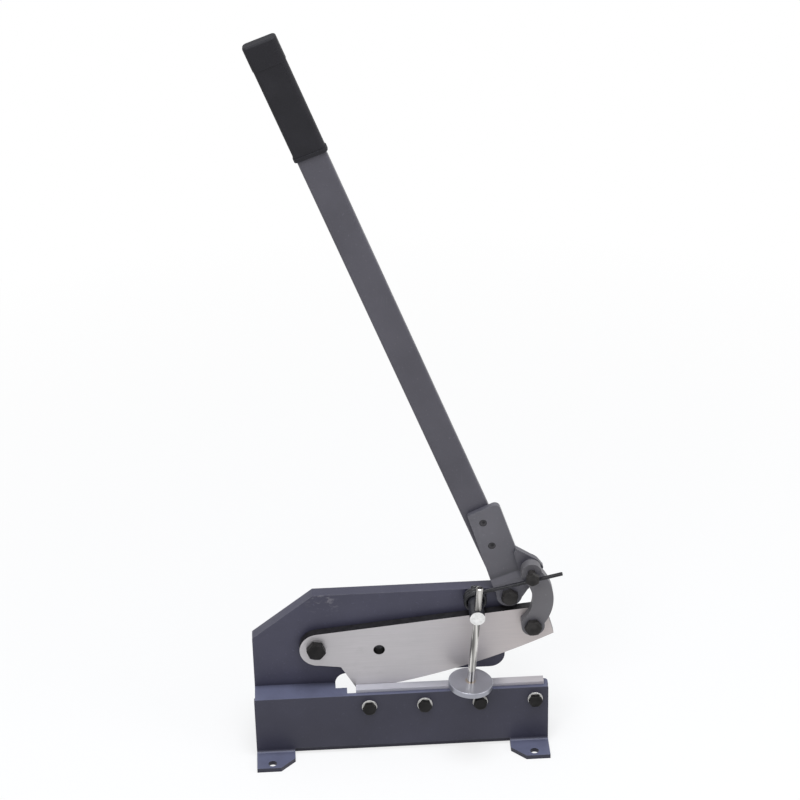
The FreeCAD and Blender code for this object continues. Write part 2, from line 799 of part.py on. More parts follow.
def return_spring():
    """Coil round the post with a straight leg that rests under the upper link bolt."""
    coil_radius = post_dia / 2 + coil_clearance + wire_dia / 2
    y_start = y_frame_front - side_gap - wire_dia / 2
    height = coil_pitch * coil_turns
    x, z = in_machine(link_top_across, link_top_along)
    reach = math.hypot(x - post[0], z - post[1])
    under = coil_radius + blade_bolt_dia / 2 + wire_dia / 2 + leg_rest_gap
    leg_angle = math.degrees(math.atan2(z - post[1], x - post[0]) - math.asin(under / reach))
    run = math.sqrt(reach * reach - under * under)
    leg_splay = math.degrees(math.atan2(y_start - height - y_wire_at_bolt, run))
    leg_length = run / math.cos(math.radians(leg_splay)) + leg_overhang
    helix = Part.makeHelix(coil_pitch, height, coil_radius)
    spine = Part.Wire(helix.Edges)
    ring = []
    for i in range(wire_sides + 1):
        turn = 2 * math.pi * i / wire_sides
        out = coil_radius + wire_dia / 2 * math.cos(turn)
        ring.append(Vector(out, 0, wire_dia / 2 * math.sin(turn)))
    section = Part.makePolygon(ring)
    coil = spine.makePipeShell([section], True, True)
    coil.rotate(Vector(0, 0, 0), Vector(1, 0, 0), 90)
    coil = coil.mirror(Vector(0, 0, 0), Vector(0, 0, 1))
    angle = 90 + leg_angle
    coil.rotate(Vector(0, 0, 0), Vector(0, 1, 0), -angle)
    coil.translate(Vector(post[0], y_start, post[1]))
    turn = math.radians(leg_angle)
    start = Vector(post[0] - coil_radius * math.sin(turn), y_start - height,
                   post[1] + coil_radius * math.cos(turn))
    splay = math.radians(leg_splay)
    direction = Vector(math.cos(turn) * math.cos(splay), -math.sin(splay),
                       math.sin(turn) * math.cos(splay))
    leg = Part.makeCylinder(wire_dia / 2, leg_length, start, direction)
    knuckle = Part.makeSphere(wire_dia * knuckle_ratio, start)
    return joined([coil, knuckle, leg])


def write_nodes():
    nodes = {
        "frame_plate": frame_plate(),
        "front_plate": front_plate(),
        "rear_plate": rear_plate(),
        "spacer_block": spacer_block(),
        "lower_blade": lower_blade(),
        "blade_bolt_washers": blade_washers(),
        "blade_pivot_bolt": blade_pivot_bolt(),
        "blade_pivot_nut": blade_pivot_nut(),
        "lever_pivot_bolt": lever_pivot_bolt(),
        "lever_pivot_nut": lever_pivot_nut(),
        "hold_down_post": hold_down_post(),
        "upper_blade": upper_blade(),
        "handle_tube": handle_tube(),
        "handle_grip": handle_grip(),
        "front_cheek": front_cheek(),
        "rear_cheek": rear_cheek(),
        "front_link": front_link(),
        "upper_link_bolt": upper_link_bolt(),
        "upper_link_nut": upper_link_nut(),
        "link_spacers": link_spacers(),
        "lower_link_bolt": lower_link_bolt(),
        "lower_link_nut": lower_link_nut(),
        "return_spring": return_spring(),
        "hold_down_screw": hold_down_screw(),
        "hold_down_foot": hold_down_foot(),
    }
    for i, x in enumerate(blade_bolt_xs()):
        nodes["blade_bolt_%d" % (i + 1)] = blade_bolt(x)
    for i, place in enumerate(rivet_places()):
        nodes["lever_rivet_%d" % (i + 1)] = lever_rivet(*place)
    os.makedirs("parts", exist_ok=True)
    for name, shape in nodes.items():
        shape.exportStep("parts/%s.step" % name)
        print(name, shape.isValid(), len(shape.Solids), round(shape.Volume), shape.BoundBox)


write_nodes()
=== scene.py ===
import math

import bmesh
import bpy
from mathutils import Matrix, Vector


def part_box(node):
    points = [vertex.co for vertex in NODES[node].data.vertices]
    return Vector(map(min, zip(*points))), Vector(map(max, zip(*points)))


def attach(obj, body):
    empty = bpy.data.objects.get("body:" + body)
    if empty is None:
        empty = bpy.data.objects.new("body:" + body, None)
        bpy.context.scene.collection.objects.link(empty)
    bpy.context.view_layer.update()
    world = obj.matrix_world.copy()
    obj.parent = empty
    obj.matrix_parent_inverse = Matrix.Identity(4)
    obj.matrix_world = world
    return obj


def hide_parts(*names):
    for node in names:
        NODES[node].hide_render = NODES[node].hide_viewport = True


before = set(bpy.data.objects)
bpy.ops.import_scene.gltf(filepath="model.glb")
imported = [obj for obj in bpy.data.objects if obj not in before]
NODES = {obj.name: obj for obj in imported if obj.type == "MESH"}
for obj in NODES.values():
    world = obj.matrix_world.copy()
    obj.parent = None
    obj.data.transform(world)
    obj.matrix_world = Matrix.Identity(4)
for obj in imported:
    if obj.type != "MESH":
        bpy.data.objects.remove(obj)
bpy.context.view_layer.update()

# Blender looks of the hand lever shear, in metres, in the CAD frame:
# +X along the blades towards the lever, +Y to the back, +Z up, origin on the bench.
MM = 0.001

# Camera that sees the machine as the photograph does: focal length and shift in pixels
# of the photograph's frame, sensor in mm, place in metres, angles in radians
IMAGE_PIXELS = 800
FOCAL_PIXELS = 2672.7
CENTRE_PIXELS = 25.5
SENSOR_WIDTH = 36.0
CAMERA_PLACE = Vector((-0.0852, -2.2993, 1.7924))
CAMERA_YAW = 0.051
CAMERA_PITCH = 0.537
CAMERA_ROLL = -0.018
NEAREST_SEEN = 0.1
FARTHEST_SEEN = 60.0

# Colours of the paints, linear
FRAME_PAINT = (0.050, 0.049, 0.076)
LEVER_PAINT = (0.074, 0.071, 0.086)
CHEEK_PAINT = (0.105, 0.102, 0.116)
LINK_PAINT = (0.118, 0.114, 0.122)
# The plates take the frame's paint darkened by this factor, as painted shade
PLATE_PAINTED_SHADE = 0.68
# Bluish colour painted on upward faces of the plates, a painted sky sheen
TOP_SHEEN = (0.106, 0.113, 0.174)
SCUFF = (0.21, 0.20, 0.22)

# Colours of the metals and the grip, linear
BLADE_STEEL = (0.485, 0.467, 0.48)
EDGE_STEEL = (0.45, 0.445, 0.485)
MILL_SCALE = (0.035, 0.033, 0.036)
# Near-black painted shade inside the bar hole of the blade
BORE_SHADE_COLOUR = (0.0015, 0.0012, 0.0015)
FOOT_STEEL = (0.34, 0.345, 0.385)
WELD_TINT = (0.34, 0.25, 0.15)
ZINC = (0.66, 0.645, 0.62)
BLACK_OXIDE = (0.008, 0.0075, 0.0075)
OILED_BLACK = (0.021, 0.0195, 0.0190)
SPRING_BLACK = (0.012, 0.012, 0.0145)
RUBBED_OXIDE = (0.080, 0.076, 0.074)
RIVET_DARK = (0.030, 0.029, 0.032)
RIVET_LIGHT = (0.046, 0.044, 0.048)
RIVET_HOLLOW = (0.010, 0.010, 0.012)
BAR_DARK = (0.014, 0.014, 0.017)
BAR_LIGHT = (0.030, 0.030, 0.036)
SAWN_DARK = (0.70, 0.70, 0.69)
SAWN_LIGHT = (0.86, 0.86, 0.85)
RUBBER = (0.016, 0.0155, 0.019)

# Surroundings: colours, half width of the floor, and the distances from the machine's middle
# between which the floor turns to the white of the backdrop
FLOOR_COLOUR = (0.80, 0.80, 0.80)
BACKDROP_COLOUR = (1.0, 1.0, 1.0)
WORLD_COLOUR = (0.95, 0.97, 1.0)
WORLD_STRENGTH = 0.45
FLOOR_HALF = 8.0
FLOOR_WHITE_NEAR = 0.70
WHITENS_FROM = 0.35
WHITE_FROM = 1.2

# Lights: place and diameter in metres, power in watts, colour; all aim at one point
LIGHT_AIM = (0.0, 0.0, 0.25)
LIGHTS = {
    "key_light": ((-1.2, -2.4, 2.6), 1.6, 30, (1.0, 0.985, 0.965)),
    "top_light": ((0.1, -0.7, 3.3), 1.8, 80, (0.92, 0.95, 1.0)),
    "fill_light": ((2.6, -1.2, 1.6), 1.8, 16, (1.0, 0.98, 0.96)),
}

# Sockets of the colour Mix node: share, first and second colour, and the result
MIX_SHARE = 0
MIX_FIRST = 6
MIX_SECOND = 7
MIX_RESULT = 2


def middle_of(node):
    """Middle of a node's box as (x, z)."""
    low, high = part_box(node)
    return (low.x + high.x) / 2, (low.z + high.z) / 2


# Places and lengths that the finishes are drawn from; the turning wave is in radians per metre
FRAME_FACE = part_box("frame_plate")[0].y
SCUFF_PLACE = (-78 * MM, FRAME_FACE, 180 * MM)
SCUFF_INNER = 7 * MM
SCUFF_OUTER = 21 * MM
POST_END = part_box("hold_down_post")[0].y
SCREW_THREAD_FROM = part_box("hold_down_post")[1].z
SCREW_PITCH = 1.25 * MM
FOOT_LOW, FOOT_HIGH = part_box("hold_down_foot")
FOOT_CENTRE = (FOOT_LOW + FOOT_HIGH) / 2
WELD_RADIUS = 4.4 * MM
TURNING_WAVE = 9000
LEVER_LEAN = math.radians(20.55)
BEND_ALONG = 25 * MM
BAR_HOLE = (-22 * MM, 0.0, 121.5 * MM)
BAR_HOLE_RADIUS = 6 * MM


class Shader:
    """A node material with a Principled surface and helpers that add one node each."""

    def __init__(self, name):
        self.material = bpy.data.materials.new(name)
        self.material.use_nodes = True
        self.tree = self.material.node_tree
        self.surface = self.tree.nodes["Principled BSDF"]
        self.place = self.node("ShaderNodeTexCoord").outputs["Object"]

    def node(self, kind, **settings):
        made = self.tree.nodes.new(kind)
        for key, value in settings.items():
            setattr(made, key, value)
        return made

    def link(self, source, target):
        self.tree.links.new(source, target)

    def fill(self, target, value):
        """Sets a socket to a value, or links it to another node's output."""
        if isinstance(value, bpy.types.NodeSocket):
            self.link(value, target)
        else:
            target.default_value = value

    def noise(self, scale, detail, stretch=(1, 1, 1), rough=0.5):
        """Noise round 0.5, its scale per metre; a small stretch draws it out along that axis."""
        mapping = self.node("ShaderNodeMapping")
        mapping.inputs["Scale"].default_value = stretch
        self.link(self.place, mapping.inputs["Vector"])
        made = self.node("ShaderNodeTexNoise")
        made.inputs["Scale"].default_value = scale
        made.inputs["Detail"].default_value = detail
        made.inputs["Roughness"].default_value = rough
        self.link(mapping.outputs["Vector"], made.inputs["Vector"])
        return made.outputs["Fac"]

    def span(self, value, low, high, to_low=0.0, to_high=1.0):
        """Maps low..high of a value to to_low..to_high, clamped."""
        made = self.node("ShaderNodeMapRange")
        self.fill(made.inputs["Value"], value)
        made.inputs["From Min"].default_value = low
        made.inputs["From Max"].default_value = high
        made.inputs["To Min"].default_value = to_low
        made.inputs["To Max"].default_value = to_high
        return made.outputs["Result"]

    def patches(self, scale, detail, low, high, strength=1.0, stretch=(1, 1, 1), rough=0.5):
        """Soft patches from 0 to a strength, where the noise rises from low to high."""
        return self.span(self.noise(scale, detail, stretch, rough), low, high, to_high=strength)

    def maths(self, operation, first, second=0.0):
        made = self.node("ShaderNodeMath", operation=operation)
        self.fill(made.inputs[0], first)
        self.fill(made.inputs[1], second)
        return made.outputs["Value"]

    def times(self, first, second):
        return self.maths("MULTIPLY", first, second)

    def mix(self, share, first, second):
        """Blends two colours, each a colour or another node's output."""
        made = self.node("ShaderNodeMix", data_type="RGBA")
        self.fill(made.inputs[MIX_SHARE], share)
        for index, value in ((MIX_FIRST, first), (MIX_SECOND, second)):
            if not isinstance(value, bpy.types.NodeSocket):
                value = (*value, 1.0)
            self.fill(made.inputs[index], value)
        return made.outputs[MIX_RESULT]

    def axis(self, source, name):
        made = self.node("ShaderNodeSeparateXYZ")
        self.link(source, made.inputs["Vector"])
        return made.outputs[name]

    def facing(self, name):
        """How far the surface faces along one axis, from -1 to 1."""
        return self.axis(self.node("ShaderNodeNewGeometry").outputs["Normal"], name)

    def from_axis(self, centre, axis_names):
        """Distance of each surface point from an axis through a point, by two coordinates."""
        offset = self.node("ShaderNodeVectorMath", operation="SUBTRACT")
        self.link(self.place, offset.inputs[0])
        offset.inputs[1].default_value = centre
        first = self.axis(offset.outputs["Vector"], axis_names[0])
        second = self.axis(offset.outputs["Vector"], axis_names[1])
        squares = self.maths("ADD", self.times(first, first), self.times(second, second))
        return self.maths("SQRT", squares)

    def edges(self, radius):
        """1 on convex and concave edges, 0 on flat faces."""
        bevel = self.node("ShaderNodeBevel", samples=4)
        bevel.inputs["Radius"].default_value = radius
        plain = self.node("ShaderNodeNewGeometry").outputs["Normal"]
        dot = self.node("ShaderNodeVectorMath", operation="DOT_PRODUCT")
        self.link(bevel.outputs["Normal"], dot.inputs[0])
        self.link(plain, dot.inputs[1])
        return self.span(dot.outputs["Value"], low=0.995, high=0.80)

    def crevice(self, reach):
        """1 in tight inner corners, 0 on open faces."""
        openness = self.node("ShaderNodeAmbientOcclusion", samples=6)
        openness.inputs["Distance"].default_value = reach
        return self.span(openness.outputs["AO"], low=0.92, high=0.50)

    def bump(self, height, distance, strength):
        made = self.node("ShaderNodeBump")
        made.inputs["Strength"].default_value = strength
        made.inputs["Distance"].default_value = distance
        self.link(height, made.inputs["Height"])
        self.link(made.outputs["Normal"], self.surface.inputs["Normal"])

    def finish(self, colour, roughness, metallic=0.0, specular=0.5):
        self.fill(self.surface.inputs["Base Color"], colour)
        self.fill(self.surface.inputs["Roughness"], roughness)
        self.fill(self.surface.inputs["Metallic"], metallic)
        self.surface.inputs["Specular IOR Level"].default_value = specular
        return self.material


def tinted(colour, factor):
    return tuple(channel * factor for channel in colour)


def paint(name, colour, scuffs=None, dust_and_sheen=None, shade=None):
    """Satin machine paint: mottled, with orange peel, thin edges, light rubs and painted shade in
    inner corners; when given, a painted sky sheen on upward faces and a painted shade line.
    """
    s = Shader(name)
    mottle = s.patches(scale=14, detail=4, low=0.35, high=0.65)
    body = s.mix(mottle, tinted(colour, 0.90), tinted(colour, 1.10))
    specks = s.patches(scale=420, detail=2, low=0.66, high=0.74, strength=0.35)
    body = s.mix(specks, body, tinted(colour, 1.9))
    streaks = s.patches(scale=900, detail=3, low=0.62, high=0.72, stretch=(1, 1, 0.03))
    rubbed = s.patches(scale=26, detail=3, low=0.56, high=0.70, strength=0.30)
    body = s.mix(s.times(streaks, rubbed), body, tinted(colour, 2.4))
    thin = s.span(s.noise(scale=120, detail=4), 0.35, 0.75, to_low=0.20, to_high=0.85)
    bare = tuple(0.6 * channel + 0.13 for channel in colour)
    body = s.mix(s.times(s.edges(0.9 * MM), thin), body, bare)
    if dust_and_sheen:
        # Painted sheen: faces that look up turn towards the bluish sheen colour, broken up by noise
        upward = s.span(s.facing("Z"), 0.5, 0.95)
        sheen_patches = s.span(s.noise(scale=40, detail=4), 0.25, 0.6, to_low=0.75, to_high=1.0)
        body = s.mix(s.times(upward, sheen_patches), body, dust_and_sheen)
    # Painted shade: tight inner corners darken towards a bluish grey
    crevice_shade = (0.30 * colour[0], 0.31 * colour[1], 0.42 * colour[2])
    body = s.mix(s.times(s.crevice(9 * MM), 0.60), body, crevice_shade)
    if shade:
        body = s.mix(shade(s), body, tinted(colour, 0.45))
    if scuffs:
        body = s.mix(scuffs(s), body, SCUFF)
    s.bump(s.noise(scale=520, detail=2), distance=0.05 * MM, strength=0.5)
    gloss = s.span(s.noise(scale=45, detail=4), 0.3, 0.7, to_low=0.36, to_high=0.50)
    return s.finish(body, gloss, specular=0.32)


def frame_scuffs(s):
    """Pale rubs on the face of the frame plate, below its top left corner."""
    offset = s.node("ShaderNodeVectorMath", operation="DISTANCE")
    s.link(s.place, offset.inputs[0])
    offset.inputs[1].default_value = SCUFF_PLACE
    near = s.span(offset.outputs["Value"], SCUFF_INNER, SCUFF_OUTER, to_low=1.0, to_high=0.0)
    front = s.span(s.axis(s.place, "Y"), FRAME_FACE + 2 * MM, FRAME_FACE + 1 * MM)
    marks = s.patches(scale=120, detail=5, low=0.52, high=0.62, strength=0.42,
                      stretch=(1.0, 1.0, 1.8), rough=0.65)
    return s.times(s.times(near, front), marks)


def bend_shade(s):
    """Painted shade: a dark line with a soft upper side where the cheek's joggle meets its tongue.
    """
    pivot_x, pivot_z = middle_of("lever_pivot_bolt")
    rise = s.maths("SUBTRACT", s.axis(s.place, "Z"), pivot_z)
    run = s.maths("SUBTRACT", s.axis(s.place, "X"), pivot_x)
    along = s.maths("SUBTRACT", s.times(rise, math.cos(LEVER_LEAN)),
                    s.times(run, math.sin(LEVER_LEAN)))
    below = s.span(along, BEND_ALONG - 1.0 * MM, BEND_ALONG + 0.2 * MM)
    above = s.span(along, BEND_ALONG + 0.6 * MM, BEND_ALONG + 7 * MM, to_low=1.0, to_high=0.0)
    return s.times(s.times(below, above), 0.62)


def steel(name, colour, metallic, scale=None):
    """Ground steel: fine lines along the blade, cloudy patches, bright edges, and painted shade
    inside the bar hole.

    A scale colour lies on the faces that don't look to the front or back.
    """
    s = Shader(name)
    lines = s.noise(scale=1500, detail=3, stretch=(0.02, 1, 1))
    cloud = s.patches(scale=16, detail=4, low=0.32, high=0.70)
    body = s.mix(cloud, tinted(colour, 0.92), tinted(colour, 1.06))
    to_the_right = s.span(s.axis(s.place, "X"), 20 * MM, 150 * MM)
    body = s.mix(to_the_right, body, (colour[0] * 1.04, colour[1] * 0.98, colour[2] * 0.93))
    body = s.mix(s.span(lines, 0.35, 0.70, to_high=0.30), body, tinted(colour, 0.78))
    stain = s.patches(scale=34, detail=5, low=0.60, high=0.78, strength=0.25, rough=0.6)
    body = s.mix(stain, body, tinted(colour, 0.60))
    body = s.mix(s.times(s.edges(0.5 * MM), 0.4), body, tinted(colour, 1.4))
    if scale:
        rim = s.span(s.maths("ABSOLUTE", s.facing("Y")), 0.80, 0.60)
        flakes = s.patches(scale=200, detail=4, low=0.3, high=0.7)
        body = s.mix(rim, body, s.mix(flakes, tinted(scale, 0.7), tinted(scale, 1.3)))
    # Painted shade: the inside of the bar hole turns near black
    bore_shade = s.span(s.from_axis(BAR_HOLE, "XZ"), BAR_HOLE_RADIUS + 0.2 * MM, BAR_HOLE_RADIUS)
    body = s.mix(bore_shade, body, BORE_SHADE_COLOUR)
    s.bump(lines, distance=0.015 * MM, strength=0.6)
    return s.finish(body, s.span(cloud, 0, 1, to_low=0.40, to_high=0.52), metallic=metallic)


def turned_foot(name):
    """Turned steel with fine rings about the foot's middle, and heat colours round the weld."""
    s = Shader(name)
    radius = s.from_axis(FOOT_CENTRE, "XY")
    rings = s.maths("SINE", s.times(radius, TURNING_WAVE))
    grain = s.maths("ADD", s.times(rings, 0.35), s.noise(scale=700, detail=3))
    cloud = s.patches(scale=60, detail=4, low=0.3, high=0.7)
    body = s.mix(cloud, tinted(FOOT_STEEL, 0.90), tinted(FOOT_STEEL, 1.06))
    gold = s.span(radius, WELD_RADIUS, 1.5 * WELD_RADIUS, to_low=0.60, to_high=0.0)
    body = s.mix(gold, body, WELD_TINT)
    body = s.mix(s.times(s.edges(0.6 * MM), 0.5), body, tinted(FOOT_STEEL, 1.5))
    s.bump(grain, distance=0.012 * MM, strength=0.7)
    return s.finish(body, 0.30, metallic=0.75)


def bright_zinc(name):
    """Bright zinc plate with faint clouds and shallow dents."""
    s = Shader(name)
    body = s.mix(s.patches(scale=240, detail=4, low=0.3, high=0.7), tinted(ZINC, 0.82), ZINC)
    s.bump(s.noise(scale=260, detail=2), distance=0.05 * MM, strength=0.5)
    gloss = s.span(s.noise(scale=90, detail=3), 0.3, 0.7, to_low=0.10, to_high=0.20)
    return s.finish(body, gloss, metallic=1.0)


def screw_zinc(name):
    """Bright zinc screw with painted reflection streaks along it: smooth below the post, with thread
    lines above it and painted shade in their grooves.
    """
    s = Shader(name)
    height = s.axis(s.place, "Z")
    threaded = s.span(height, SCREW_THREAD_FROM, SCREW_THREAD_FROM + 2 * MM)
    turns = s.maths("SINE", s.times(height, 2 * math.pi / SCREW_PITCH))
    ridges = s.times(turns, threaded)
    # Painted reflections: dark and bright streaks along the screw
    streaks = s.patches(scale=330, detail=3, low=0.40, high=0.56, stretch=(1, 1, 0.05))
    body = s.mix(streaks, tinted(ZINC, 0.22), tinted(ZINC, 1.05))
    # Painted shade darkens the thread grooves
    body = s.mix(s.span(ridges, -0.2, -1.0, to_high=0.6), body, tinted(ZINC, 0.30))
    relief = s.maths("ADD", ridges, s.noise(scale=180, detail=2))
    s.bump(relief, distance=0.10 * MM, strength=0.6)
    gloss = s.span(s.noise(scale=90, detail=3), 0.3, 0.7, to_low=0.08, to_high=0.18)
    return s.finish(body, gloss, metallic=1.0)


def washer_zinc(name):
    """Dull zinc plate of flat washers."""
    s = Shader(name)
    cloud = s.patches(scale=300, detail=4, low=0.3, high=0.7)
    body = s.mix(cloud, tinted(ZINC, 0.85), tinted(ZINC, 1.15))
    s.bump(s.noise(scale=700, detail=2), distance=0.02 * MM, strength=0.5)
    return s.finish(body, 0.45, metallic=0.25)


def black_oxide(name, colour, smoothest=0.34, roughest=0.48, specular=0.16):
    """Blackened steel with an oily sheen and slightly rubbed edges."""
    s = Shader(name)
    cloud = s.patches(scale=150, detail=4, low=0.35, high=0.65)
    body = s.mix(cloud, tinted(colour, 0.75), tinted(colour, 1.5))
    rubbed = s.span(s.noise(scale=300, detail=3), 0.3, 0.7, to_low=0.10, to_high=0.50)
    body = s.mix(s.times(s.edges(0.45 * MM), rubbed), body, RUBBED_OXIDE)
    s.bump(s.noise(scale=650, detail=3), distance=0.03 * MM, strength=0.5)
    gloss = s.span(s.noise(scale=110, detail=3), 0.3, 0.7, smoothest, roughest)
    return s.finish(body, gloss, specular=specular)


def rivet_finish(name, node):
    """Dark rivet head, pressed flush, with a ring round it and a dimple off its middle."""
    s = Shader(name)
    low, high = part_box(node)
    middle = (low + high) / 2
    ring = s.span(s.from_axis(middle, "XZ"), 3.2 * MM, 3.9 * MM)
    dimple_place = middle + Vector((0.6 * MM, 0, 0.9 * MM))
    dimple = s.span(s.from_axis(dimple_place, "XZ"), 2.2 * MM, 1.2 * MM)
    body = s.mix(s.patches(scale=300, detail=4, low=0.35, high=0.65), RIVET_DARK, RIVET_LIGHT)
    body = s.mix(s.maths("MAXIMUM", ring, dimple), body, RIVET_HOLLOW)
    relief = s.maths("SUBTRACT", s.noise(scale=500, detail=2), s.times(dimple, 3.0))
    s.bump(relief, distance=0.15 * MM, strength=0.6)
    return s.finish(body, 0.42, specular=0.25)


def post_finish(name):
    """Black round bar whose sawn end face is bright."""
    s = Shader(name)
    end = s.span(s.axis(s.place, "Y"), POST_END + 0.35 * MM, POST_END + 0.15 * MM)
    dark = s.mix(s.patches(scale=150, detail=4, low=0.35, high=0.65), BAR_DARK, BAR_LIGHT)
    bright = s.mix(s.patches(scale=300, detail=3, low=0.35, high=0.65), SAWN_DARK, SAWN_LIGHT)
    s.bump(s.noise(scale=500, detail=3), distance=0.02 * MM, strength=0.5)
    gloss = s.span(end, 0, 1, to_low=0.36, to_high=0.32)
    return s.finish(s.mix(end, dark, bright), gloss, metallic=s.times(end, 0.9), specular=0.22)


def rubber(name):
    """Dull moulded rubber with a fine pebble and faint dusty patches."""
    s = Shader(name)
    dust_and_sheen = s.patches(scale=30, detail=5, low=0.45, high=0.75, strength=0.35)
    body = s.mix(dust_and_sheen, tinted(RUBBER, 0.85), tinted(RUBBER, 1.7))
    body = s.mix(s.times(s.edges(1.2 * MM), 0.4), body, tinted(RUBBER, 2.4))
    fine = s.noise(scale=900, detail=3)
    coarse = s.noise(scale=210, detail=3)
    s.bump(s.maths("ADD", fine, s.times(coarse, 0.8)), distance=0.12 * MM, strength=0.6)
    return s.finish(body, 0.62, specular=0.22)


FINISHES = {
    "frame_paint": paint("frame_paint", FRAME_PAINT, scuffs=frame_scuffs),
    "plate_paint": paint("plate_paint", tinted(FRAME_PAINT, PLATE_PAINTED_SHADE), dust_and_sheen=TOP_SHEEN),
    "lever_paint": paint("lever_paint", LEVER_PAINT),
    "cheek_paint": paint("cheek_paint", CHEEK_PAINT, shade=bend_shade),
    "link_paint": paint("link_paint", LINK_PAINT),
    "blade_steel": steel("blade_steel", BLADE_STEEL, metallic=0.70, scale=MILL_SCALE),
    "edge_steel": steel("edge_steel", EDGE_STEEL, metallic=0.35),
    "foot_steel": turned_foot("foot_steel"),
    "zinc": bright_zinc("bright_zinc"),
    "screw": screw_zinc("screw_zinc"),
    "washer_zinc": washer_zinc("washer_zinc"),
    "black": black_oxide("black_oxide", BLACK_OXIDE),
    "oiled": black_oxide("oiled_black", OILED_BLACK),
    "spring": black_oxide("spring_wire", SPRING_BLACK, 0.22, 0.32, specular=0.30),
    "rivet_1": rivet_finish("rivet_head_1", "lever_rivet_1"),
    "rivet_2": rivet_finish("rivet_head_2", "lever_rivet_2"),
    "post": post_finish("post_black"),
    "rubber": rubber("grip_rubber"),
}

# Finish of each CAD node, and the width in mm to which its edges are softened
DRESS = {
    "frame_plate": ("frame_paint", 0.7),
    "front_plate": ("plate_paint", 0.7),
    "rear_plate": ("plate_paint", 0.7),
    "spacer_block": ("plate_paint", 0.3),
    "lower_blade": ("edge_steel", 0.25),
    "upper_blade": ("blade_steel", 0.25),
    "blade_bolt_1": ("black", 0.0),
    "blade_bolt_2": ("black", 0.0),
    "blade_bolt_3": ("black", 0.0),
    "blade_bolt_4": ("black", 0.0),
    "blade_bolt_washers": ("washer_zinc", 0.25),
    "blade_pivot_bolt": ("black", 0.0),
    "blade_pivot_nut": ("black", 0.3),
    "lever_pivot_bolt": ("oiled", 0.0),
    "lever_pivot_nut": ("black", 0.3),
    "hold_down_post": ("post", 0.3),
    "front_cheek": ("cheek_paint", 0.6),
    "rear_cheek": ("cheek_paint", 0.6),
    "handle_tube": ("lever_paint", 0.0),
    "handle_grip": ("rubber", 0.5),
    "lever_rivet_1": ("rivet_1", 0.2),
    "lever_rivet_2": ("rivet_2", 0.2),
    "upper_link_bolt": ("oiled", 0.0),
    "upper_link_nut": ("black", 0.25),
    "link_spacers": ("zinc", 0.2),
    "front_link": ("link_paint", 0.7),
    "lower_link_bolt": ("oiled", 0.0),
    "lower_link_nut": ("black", 0.25),
    "return_spring": ("spring", 0.0),
    "hold_down_screw": ("screw", 0.2),
    "hold_down_foot": ("foot_steel", 0.3),
}
SOFTENED_FROM = math.radians(35)
SOFT_SEGMENTS = 2
FLAT_WITHIN = math.radians(0.5)
SHARP_FROM = math.radians(28)

# Hex bolts made anew, in mm: width across flats, head height and thread diameter
M8 = (13.0, 5.3, 8.0)
M10 = (16.0, 6.4, 10.0)
M12 = (18.0, 7.5, 12.0)

# Body and size of each bolt, and the turn of its head in degrees (0 has a flat on top)
HEX_BOLTS = {
    "blade_bolt_1": ("frame", M8, 6),
    "blade_bolt_2": ("frame", M8, -9),
    "blade_bolt_3": ("frame", M8, 14),
    "blade_bolt_4": ("frame", M8, 2),
    "blade_pivot_bolt": ("frame", M12, -10),
    "lever_pivot_bolt": ("frame", M10, 20),
    "upper_link_bolt": ("lever", M8, 27),
    "lower_link_bolt": ("link", M10, 4),
}
BOLT_SIDES = 72

# Bolt head: crown as a share of the width across flats, its flat middle as a share of the
# crown, its rounding in mm, the slope of its corners, and the chamfer under the head in mm
CROWN_SHARE = 0.95
CROWN_MIDDLE = 0.90
CROWN_ROUND_IN = 0.20
CROWN_ROUND_BACK = 0.12
CROWN_SLOPE = math.radians(30)
UNDER_CHAMFER = 0.25

# Thread of the bolts, in mm, ending short of the bolt's end, and the steps of its point as
# inset and distance from the end
THREAD_PITCH = 1.25
THREAD_LENGTH = 4.0
THREAD_ROWS = 24
THREAD_HALF_DEPTH = 0.30
THREAD_STOPS_SHORT = 0.9
POINT_STEPS = ((0.7, 0.35), (1.2, 0.0))

# Return spring, in mm; its leg passes under the upper link bolt, in front of the link
COIL_RADIUS = 10.3
WIRE_RADIUS = 2.0
COIL_PITCH = 4.4
COIL_TURNS = 3
COIL_STEPS = 40
COIL_GAP = 0.3
LINK_BOLT_RADIUS = 4.0
LEG_REST_GAP = 0.6
LEG_STAND_OFF = 4.4
LEG_OVERHANG = 31.0
LEG_STOPS = (2, 6, 40, 80)
WIRE_SIDES = 20
WIRE_END_ROUND = 0.4


def hex_radius(degrees, half_flats):
    """Distance from the middle of a hexagon to its side, with corners at multiples of 60 degrees."""
    return half_flats / math.cos(math.radians(degrees % 60 - 30))


def skinned(name, rings, finish):
    """A closed mesh piece through rings that have as many points each."""
    count = len(rings[0])
    places = [place for ring in rings for place in ring]
    faces = [tuple(range(count)), tuple(range(len(places) - count, len(places)))]
    for row in range(len(rings) - 1):
        for i in range(count):
            this = row * count + i
            after = row * count + (i + 1) % count
            faces.append((this, after, after + count, this + count))
    mesh = bpy.data.meshes.new(name)
    mesh.from_pydata(places, [], faces)
    solid = bmesh.new()
    solid.from_mesh(mesh)
    bmesh.ops.recalc_face_normals(solid, faces=solid.faces)
    solid.to_mesh(mesh)
    solid.free()
    for polygon in mesh.polygons:
        polygon.use_smooth = True
    mesh.set_sharp_from_angle(angle=SHARP_FROM)
    mesh.materials.append(FINISHES[finish])
    piece = bpy.data.objects.new(name, mesh)
    bpy.context.scene.collection.objects.link(piece)
    return piece


